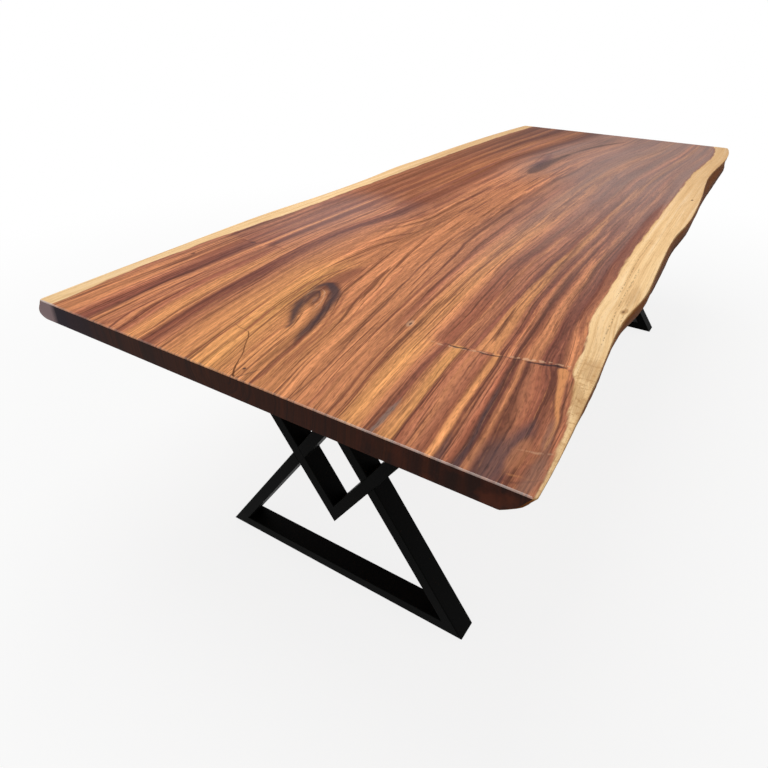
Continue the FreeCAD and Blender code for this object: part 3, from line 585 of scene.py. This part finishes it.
def knotsAndMarks(add, field, colour):
    raggedX, raggedY = add("SeparateXYZ", [field["ragged"]]).node.outputs[:2]
    lanes = {"x": (field["x"], raggedY, 0, slabWidth), "y": (field["y"], raggedX, 0, slabLength),
             "grain": (field["x"], field["off"], 600, 1200)}
    gaps = add("TexNoise", {"Vector": field["at"], "Scale": 1 / grain["gaps"], "Detail": 1})
    gaps = add("MapRange", [gaps, 0.46, 0.54])
    least, most = 10, 50  # half widths go below 0 where a line ends
    for kind, tone, soft, strength, path, half, *broken in marks:
        run, across, lift, wide = lanes[kind]
        start, end = min(half), max(half)
        span = add("MapRange", [run, start, end])
        path = drawnLine(add, span, path, start, end, lift, wide)
        half = drawnLine(add, span, half, start, end, least, most)
        gap = add("Math", [path, across], "SUBTRACT")
        gap = add("Math", [gap], "ABSOLUTE")
        gap = add("Math", [half, gap], "SUBTRACT")
        cover = add("MapRange", [gap, -soft, soft, 0, strength], **smoothly)
        if broken:
            cover = add("Math", [cover, gaps], "MULTIPLY")
        colour = add("Mix", [cover, colour, tone])
    for centre, half, turn, tone, strength in spots:
        local = add("Mapping", {
            "Vector": field["ragged"], "Location": centre + (0,), "Scale": half + (30,),  # 30 mm deep
            "Rotation": (0, 0, math.radians(turn))}, vector_type="TEXTURE")
        reach = add("VectorMath", [local], "LENGTH").node.outputs["Value"]
        outer, inner = (1.3, 0.6) if half[0] < 100 else (1.8, 0.0)  # wide ones have no edge to see
        cover = add("MapRange", [reach, outer, inner, 0, strength], **smoothly)
        colour = add("Mix", [cover, colour, tone])
    return colour


# oiled monkeypod face: bands of gold and plum, fine dark lines and a soft satin sheen, with a painted grey
# reflection on parts of the top
def oiledFaceWood():
    material, add = newMaterial("oiled monkeypod face")
    field = woodField(add)
    colour, line = heartwood(add, field)
    colour, sap = sapwood(add, field, colour)
    colour = knotsAndMarks(add, field, colour)
    pore = grainStreaks(add, field, "pore", 1, "off")
    pit = add("MapRange", [pore, 0.52, 0.68, 1.04, 0.68])
    share = add("MapRange", [sap, 0, 1, 0.8, 0.35])  # fainter in the sapwood
    colour = add("Mix", [share, colour, pit], blend_type="MULTIPLY")
    bump = add("Bump", {"Strength": 0.12, "Distance": 0.4 * mm, "Height": pit})
    rough = add("MapRange", [line, 0, 0.6, 0.56, 0.68])
    shader = add("BsdfPrincipled", {
        "Base Color": colour, "Roughness": rough, "Normal": bump, "Specular IOR Level": 0.05})
    add("OutputMaterial", {"Surface": shader})
    return material


# sawn end grain: soaks up oil, so the same wood goes nearly black-brown
def oiledEndGrain():
    material, add = newMaterial("oiled monkeypod end grain")
    field = woodField(add)
    colour = heartwood(add, field)[0]
    colour = sapwood(add, field, colour)[0]
    colour = add("Mix", [1, colour, "oiled"], blend_type="MULTIPLY")
    colour = add("Mix", [0.6, colour, "soaked"])
    # redder on the right, a painted blue-black reflection on the left, and grey in the left sapwood
    patch = add("TexNoise", {"Vector": field["at"], "Scale": 1 / grain["endPatch"], "Detail": 3})
    patch = add("MapRange", [patch, 0.48, 0.68, 0, 0.5])
    for tone, cover in (("endRed", patch), ("endBlue", 1), ("endGrey", 1)):
        share = add("MapRange", [field["y"], *grain[tone]])
        share = add("Math", [share, cover], "MULTIPLY")
        colour = add("Mix", [share, colour, tone])
    shader = add("BsdfPrincipled", {"Base Color": colour, "Roughness": 0.6, "Specular IOR Level": 0.08})
    add("OutputMaterial", {"Surface": shader})
    return material


# eased arris of the sawn end: a painted highlight, a pale line where the edge catches the light, stronger
# at both corners
def highlightedArris():
    material, add = newMaterial("arris with painted highlight")
    field = woodField(add)
    colour = heartwood(add, field)[0]
    share = add("FloatCurve", {"Value": field["shareY"]}, curve=[
        (0, 0.55), (0.25, 0.45), (0.35, 0.2), (0.45, 0.1), (0.85, 0.1), (0.92, 0.6), (0.94, 1), (1, 1)])
    patch = add("TexNoise", {"Vector": field["at"], "Scale": 1 / grain["highlightPatch"], "Detail": 2})
    patch = add("MapRange", [patch, 0.3, 0.6, 0.4])
    share = add("Math", [share, patch], "MULTIPLY")
    colour = add("Mix", [share, colour, "rubbed"])
    shader = add("BsdfPrincipled", {"Base Color": colour, "Roughness": 0.45, "Specular IOR Level": 0.3})
    add("OutputMaterial", {"Surface": shader})
    return material


# the tree's own edge under the bark: brown skin with long shallow ridges, pale where it meets the top
def debarkedEdge():
    material, add = newMaterial("debarked live edge")
    field = woodField(add)
    streak = patches(add, field["at"], *grain["barkStreak"], 4, 0.6)
    down = add("MapRange", [streak, *spread, -5, 5])
    down = add("Math", [field["z"], down], "ADD")
    down = add("Math", [down, slabThickness], "DIVIDE")
    tones = [(0.04, "sapShade"), (0.11, "skin"), (0.22, "skinBrown"), (0.6, "skinShade"), (1.0, "skinFoot")]
    colour = add("ValToRGB", {"Fac": down}, stops=tones)
    shade = add("MapRange", [streak, *spread, 0.6, 1.2])
    colour = add("Mix", [1, colour, shade], blend_type="MULTIPLY")
    bump = add("Bump", {"Strength": 0.4, "Distance": 1.2 * mm, "Height": streak})
    shader = add("BsdfPrincipled", {
        "Base Color": colour, "Roughness": 0.65, "Normal": bump, "Specular IOR Level": 0.03})
    add("OutputMaterial", {"Surface": shader})
    return material


slabShape = {
    "stations": 440,  # along the slab
    "endSteps": [0, 0.8, 2.4, 5, 9, 14, 20, 27],  # the first of them, mm from either end
    "rows": 14,  # across it
    "levels": [0.03, 0.3, 0.9, 2.5, 4.5, 8, 13, 19, 26, 32, 37, 41, 43.5, 44.97],  # mm below the top
    "rightCorners": (6 * mm, 12 * mm),  # how round the near and far corners are
    "leftCorners": (6 * mm, 8 * mm),
    # the underside rolls up by the near right corner: how far in, for what length, and between which depths
    "roll": (2 * mm, 140 * mm),
    "rollDepths": (30, 45),
    "rollPowers": (2.6, 1.5),
    # foot of the right edge beyond its top, and over what length that comes and goes
    "flare": [
        (820, 0), (950, 5), (1100, 7), (1250, 5), (1380, 2), (1600, 1), (1780, 4), (1900, 12), (1990, 18),
        (2080, 21), (2170, 19), (2260, 14), (2350, 9), (2440, 5), (2540, -5)],
    "flareFade": 90,
    "flareDepths": (5, 30),  # where below the top it starts and is full
    "ridgeDepth": 2.0 * mm,
    "ridgeLift": 0.35,  # the more, the more of the edge is ridge
    "ridgeLength": 160 * mm,
    "ridgeHeight": 14 * mm,
    "ridgeFade": (10, 6, 0.3),  # mm below the top and above the underside, and what is left of it there
    "arris": (1.0, 2.5),  # mm that face wood rolls over the long edges, and the arris with its painted highlight over the ends
}


def between(table, place):
    for (start, low), (end, high) in zip(table, table[1:]):
        if start <= place <= end:
            return low + (high - low) * (place - start) / (end - start)


def stationPlace(i, near, far):
    steps = slabShape["endSteps"]
    fine, last = len(steps) - 1, slabShape["stations"]
    if i <= fine:
        return near + steps[i] * mm
    if i >= last - fine:
        return far - steps[last - i] * mm
    return near + steps[-1] * mm + (far - near - 2 * steps[-1] * mm) * (i - fine) / (last - 2 * fine)


# how far a round corner draws the side in, at this distance from the end
def roundOff(gap, radius):
    return radius - math.sqrt(radius ** 2 - (radius - min(gap, radius)) ** 2)


# reads the CAD slab's outline at one depth and returns its ends and a function for its sides
def slabOutline(tree, depth):
    level = slabHigh.z - depth * mm
    near = tree.ray_cast(Vector((slabLow.x - 1, 0, level)), Vector((1, 0, 0)))[0].x
    far = tree.ray_cast(Vector((slabHigh.x + 1, 0, level)), Vector((-1, 0, 0)))[0].x

    def sides(x):
        inside = min(max(x, near + 0.02 * mm), far - 0.02 * mm)
        right = tree.ray_cast(Vector((inside, -2, level)), Vector((0, 1, 0)))[0].y
        left = tree.ray_cast(Vector((inside, 2, level)), Vector((0, -1, 0)))[0].y
        return right, left
    return near, far, sides


def ridge(x, level, sideSign):
    spot = Vector((x / slabShape["ridgeLength"], level / slabShape["ridgeHeight"], sideSign * 5.0))
    return slabShape["ridgeDepth"] * max(0.0, noise.fractal(spot, 0.9, 2.0, 3) + slabShape["ridgeLift"])


# where the two long sides lie at one level, x metres along
def longSides(outlines, k, x):
    near, far, across = outlines[k]
    levels, flare = slabShape["levels"], slabShape["flare"]
    depth = levels[k]
    right, left = across(x)
    along = (x - slabLow.x) / mm
    fade = slabShape["flareFade"]
    blend = min(1.0, (along - flare[0][0]) / fade, (flare[-1][0] - along) / fade)
    if blend > 0:
        start, full = slabShape["flareDepths"]
        foot = min(1.0, max(0.0, (depth - start) / (full - start)))
        reach = between(flare, along) * mm * foot * foot * (3 - 2 * foot)
        right += (min(right, outlines[0][2](x)[0] - reach) - right) * blend
    inward, length = slabShape["roll"]
    start, full = slabShape["rollDepths"]
    downPower, alongPower = slabShape["rollPowers"]
    low = max(0.0, (depth - start) / (full - start)) ** downPower
    right += inward * low * max(0.0, 1 - (x - near) / length) ** alongPower
    corners = zip((x - near, far - x), slabShape["rightCorners"], slabShape["leftCorners"])
    for gap, rightRound, leftRound in corners:
        right += roundOff(gap, rightRound)
        left -= roundOff(gap, leftRound)
    under, over, rest = slabShape["ridgeFade"]
    share = min(1.0, depth / under, (levels[-1] - depth) / over + rest)
    level = slabHigh.z - depth * mm
    return right + share * ridge(x, level, -1), left - share * ridge(x, level, 1)


def liveEdgeSlab(materials):
    cad = bmesh.new()
    cad.from_mesh(nodes["slab_top"].data)
    tree = BVHTree.FromBMesh(cad)
    cad.free()
    levels = slabShape["levels"]
    bm = bmesh.new()
    bmesh.ops.create_grid(bm, x_segments=slabShape["stations"], y_segments=slabShape["rows"], size=0.5)
    made = bmesh.ops.extrude_face_region(bm, geom=bm.faces[:])
    lifted = [v for v in made["geom"] if isinstance(v, bmesh.types.BMVert)]
    bmesh.ops.translate(bm, vec=(0, 0, 1), verts=lifted)
    upright = [e for e in bm.edges if abs(e.verts[0].co.z - e.verts[1].co.z) > 0.5]
    bmesh.ops.subdivide_edges(bm, edges=upright, cuts=len(levels) - 2, use_grid_fill=True)
    outlines = [slabOutline(tree, depth) for depth in levels]
    last = len(levels) - 1
    shares = {}
    for v in bm.verts:
        shares[v] = (v.co.x + 0.5, v.co.y + 0.5, round((1 - v.co.z) * last))
    sides = {}
    for v, (u, w, k) in shares.items():
        near, far = outlines[k][:2]
        station = round(u * slabShape["stations"])
        x = stationPlace(station, near, far)
        if (station, k) not in sides:
            sides[station, k] = longSides(outlines, k, x)
        right, left = sides[station, k]
        level = {0: slabHigh.z, last: slabLow.z}.get(k, slabHigh.z - levels[k] * mm)
        v.co = Vector((x, right + (left - right) * w, level))
    edgeRoll, endRoll = slabShape["arris"]
    for f in bm.faces:
        f.smooth = True
        us = {round(shares[v][0], 4) for v in f.verts}
        ws = {round(shares[v][1], 4) for v in f.verts}
        depth = max(levels[shares[v][2]] for v in f.verts)
        if us == {0.0} or us == {1.0}:
            f.material_index = 1 if depth > endRoll else 3
        elif depth > edgeRoll and (ws == {0.0} or ws == {1.0}):
            f.material_index = 2
    bmesh.ops.recalc_face_normals(bm, faces=bm.faces)
    for e in bm.edges:
        e.smooth = e.calc_face_angle(0.0) < math.radians(40)
    return addPiece("live_edge_slab", bm, materials, "oiled_slab", "slab_top")


# the frames' finishes: size and detail of their patches, two tones for these and perhaps two roughnesses,
# and perhaps a bump, by its size, detail, strength and depth
finishes = {
    # near black, with a fine orange-peel texture that breaks up its soft sheen
    "black powder coat": {
        "patch": (90 * mm, 3.0), "tones": ("#040404", "#080807"), "rough": (0.46, 0.56),
        "bump": (1.6 * mm, 2.0, 0.15, 0.1 * mm), "shader": {"Specular IOR Level": 0.025}},
    # cool grey metal with a faint mottled passivation
    "zinc-plated steel": {
        "patch": (4 * mm, 3.0), "tones": ("#9ea3a6", "#c2c6c6"), "rough": (0.28, 0.4),
        "shader": {"Metallic": 1.0}},
    # warm yellow metal, dulled a little in patches
    "turned brass": {
        "patch": (6 * mm, 3.0), "tones": ("#a98345", "#d1ab63"),
        "shader": {"Metallic": 1.0, "Roughness": 0.32}},
    # soft dark grey with tangled fibres and no shine
    "pressed wool felt": {
        "patch": (0.8 * mm, 4.0), "tones": ("#232325", "#3a3a3c"), "bump": (0.8 * mm, 4.0, 0.5, 0.4 * mm),
        "shader": {"Roughness": 0.95, "Sheen Weight": 0.4}},
}


def plainFinish(name):
    finish = finishes[name]
    material, add = newMaterial(name)
    place = add("TexCoord").node.outputs["Object"]
    size, detail = finish["patch"]
    patch = add("TexNoise", {"Vector": place, "Scale": 1 / size, "Detail": detail})
    inputs = dict(finish["shader"])
    inputs["Base Color"] = add("ValToRGB", {"Fac": patch}, stops=list(zip(spread, finish["tones"])))
    if "rough" in finish:
        inputs["Roughness"] = add("MapRange", [patch, *spread, *finish["rough"]])
    if "bump" in finish:
        size, detail, strength, depth = finish["bump"]
        peel = add("TexNoise", {"Vector": place, "Scale": 1 / size, "Detail": detail})
        inputs["Normal"] = add("Bump", {"Strength": strength, "Distance": depth, "Height": peel})
    add("OutputMaterial", {"Surface": add("BsdfPrincipled", inputs)})
    return material


def dressFrame():
    coat, zinc, brass, felt = (plainFinish(name) for name in finishes)
    endings = {"bolts": zinc, "washers": zinc, "inserts": brass, "floor_pads": felt}
    for name, node in nodes.items():
        if name == "slab_top":
            continue
        material = next((m for ending, m in endings.items() if name.endswith(ending)), coat)
        node.data.materials.clear()
        node.data.materials.append(material)
    return coat


# seams of each frame: sideways from its middle and up from the underside of its bar, in mm
weld = {
    "radius": 3.2 * mm,
    "length": 54 * mm,
    "ripples": 15,
    "ripple": 0.16,
    "seams": [
        (-316.7, 30), (316.7, 30), (0, 473.4), (0, 238.6), (-83.9, 356), (83.9, 356), (-120.7, 356),
        (120.7, 356), (-102.3, 381.8), (102.3, 381.8), (-102.3, 330.2), (102.3, 330.2), (-333.9, 706),
        (333.9, 706), (-370.7, 706), (370.7, 706)],
}


def weldBeads(name, coat):
    low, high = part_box(name + "_base_bar")
    middle = (low + high) / 2
    bm = bmesh.new()
    for across, up in weld["seams"]:
        place = Vector((middle.x, middle.y + across * mm, low.z + up * mm))
        turn = Matrix.Translation(place) @ Matrix.Rotation(math.radians(90), 4, "Y")
        made = bmesh.ops.create_cone(
            bm, cap_ends=True, segments=10, radius1=weld["radius"], radius2=weld["radius"],
            depth=weld["length"], matrix=turn)
        touched = dict.fromkeys(e for v in made["verts"] for e in v.link_edges)  # each once, in order
        long = [e for e in touched if abs(e.verts[0].co.x - e.verts[1].co.x) > mm]
        cuts = bmesh.ops.subdivide_edges(bm, edges=long, cuts=weld["ripples"], use_grid_fill=True)
        rings = [v for v in cuts["geom_inner"] if isinstance(v, bmesh.types.BMVert)]
        for v in rings:  # every second ring a little thinner, like laid coins
            share = (v.co.x - middle.x) / weld["length"] + 0.5
            thin = weld["ripple"] * (round(share * (weld["ripples"] + 1)) % 2)
            v.co.yz = place.yz + (v.co.yz - place.yz) * (1 - thin)
    for f in bm.faces:
        f.smooth = True
    return addPiece(name + "_weld_beads", bm, [coat], "black_powder_coat")


studio = {
    "floor": "#f3f3f2",
    "floorReach": 14.0,
    "floorGlow": (1.0, 3.6, 0.84),  # from this far out to that, its glow grows from this share to full
    "fill": 0.42,
    "keyPower": 48.0,
    "keyPlace": (0.1, 0.4, 2.9),
    "keySize": (3.4, 1.9),
}


def paleFloor():
    material, add = newMaterial("matt white floor")
    place = add("TexCoord").node.outputs["Object"]
    far = add("VectorMath", [place], "LENGTH").node.outputs["Value"]
    far = add("MapRange", [far, *studio["floorGlow"]], **smoothly)
    rays = add("LightPath").node.outputs
    seen = add("Math", [rays["Is Camera Ray"], rays["Is Glossy Ray"]], "MAXIMUM")
    white = add("Math", [seen, far], "MULTIPLY")
    matt = add("BsdfDiffuse", {"Color": studio["floor"]})
    glow = add("Emission", {"Color": (1, 1, 1, 1), "Strength": 1})
    shader = add("MixShader", [white, matt, glow])
    add("OutputMaterial", {"Surface": shader})
    bm = bmesh.new()
    bmesh.ops.create_circle(bm, cap_ends=True, segments=64, radius=studio["floorReach"])
    mesh = bpy.data.meshes.new("floor")
    bm.to_mesh(mesh)
    bm.free()
    mesh.materials.append(material)
    floor = bpy.data.objects.new("floor", mesh)
    bpy.context.scene.collection.objects.link(floor)


def softLight():
    world = bpy.data.worlds.new("studio")
    bpy.context.scene.world = world
    world.use_nodes = True
    world.node_tree.nodes.clear()
    add = partial(addNode, world.node_tree)
    rays = add("LightPath").node.outputs
    seen = add("Math", [rays["Is Camera Ray"], rays["Is Glossy Ray"]], "MAXIMUM")
    seen = add("Math", [seen, rays["Is Transmission Ray"]], "MAXIMUM")
    fill = add("Background", {"Color": (1, 1, 1, 1), "Strength": studio["fill"]})
    white = add("Background", {"Color": (1, 1, 1, 1), "Strength": 1})
    shader = add("MixShader", [seen, fill, white])
    add("OutputWorld", {"Surface": shader})
    key = bpy.data.lights.new("key", "AREA")
    key.shape = "RECTANGLE"
    key.size, key.size_y = studio["keySize"]
    key.energy = studio["keyPower"]
    lamp = bpy.data.objects.new("key", key)
    lamp.location = studio["keyPlace"]
    bpy.context.scene.collection.objects.link(lamp)


# fitted to the straight edges in the photo
view = {
    "place": (-1.9787, -0.7474, 1.3245),
    "right": (0.53968, -0.84178, 0.01199),
    "forward": (0.72513, 0.45756, -0.51461),
    "lens": 28.875,
    "shift": (-0.0066, -0.0182),
}


def photoCamera():
    lens = bpy.data.cameras.new("photoView")
    lens.sensor_width = 36
    lens.lens = view["lens"]
    lens.shift_x, lens.shift_y = view["shift"]
    lens.clip_end = 100
    camera = bpy.data.objects.new("photoView", lens)
    right = Vector(view["right"]).normalized()
    back = -Vector(view["forward"]).normalized()
    up = back.cross(right)
    turn = Matrix((right, up, back)).transposed().to_4x4()
    camera.matrix_world = Matrix.Translation(view["place"]) @ turn
    bpy.context.scene.collection.objects.link(camera)
    bpy.context.scene.camera = camera


slab = liveEdgeSlab([oiledFaceWood(), oiledEndGrain(), debarkedEdge(), highlightedArris()])
print("slab", len(slab.data.polygons), "faces")
coat = dressFrame()
for name in ("near", "far"):
    weldBeads(name, coat)
print("frames dressed and welded")
paleFloor()
softLight()
photoCamera()
bpy.context.scene.view_settings.view_transform = "Standard"
print("studio set")
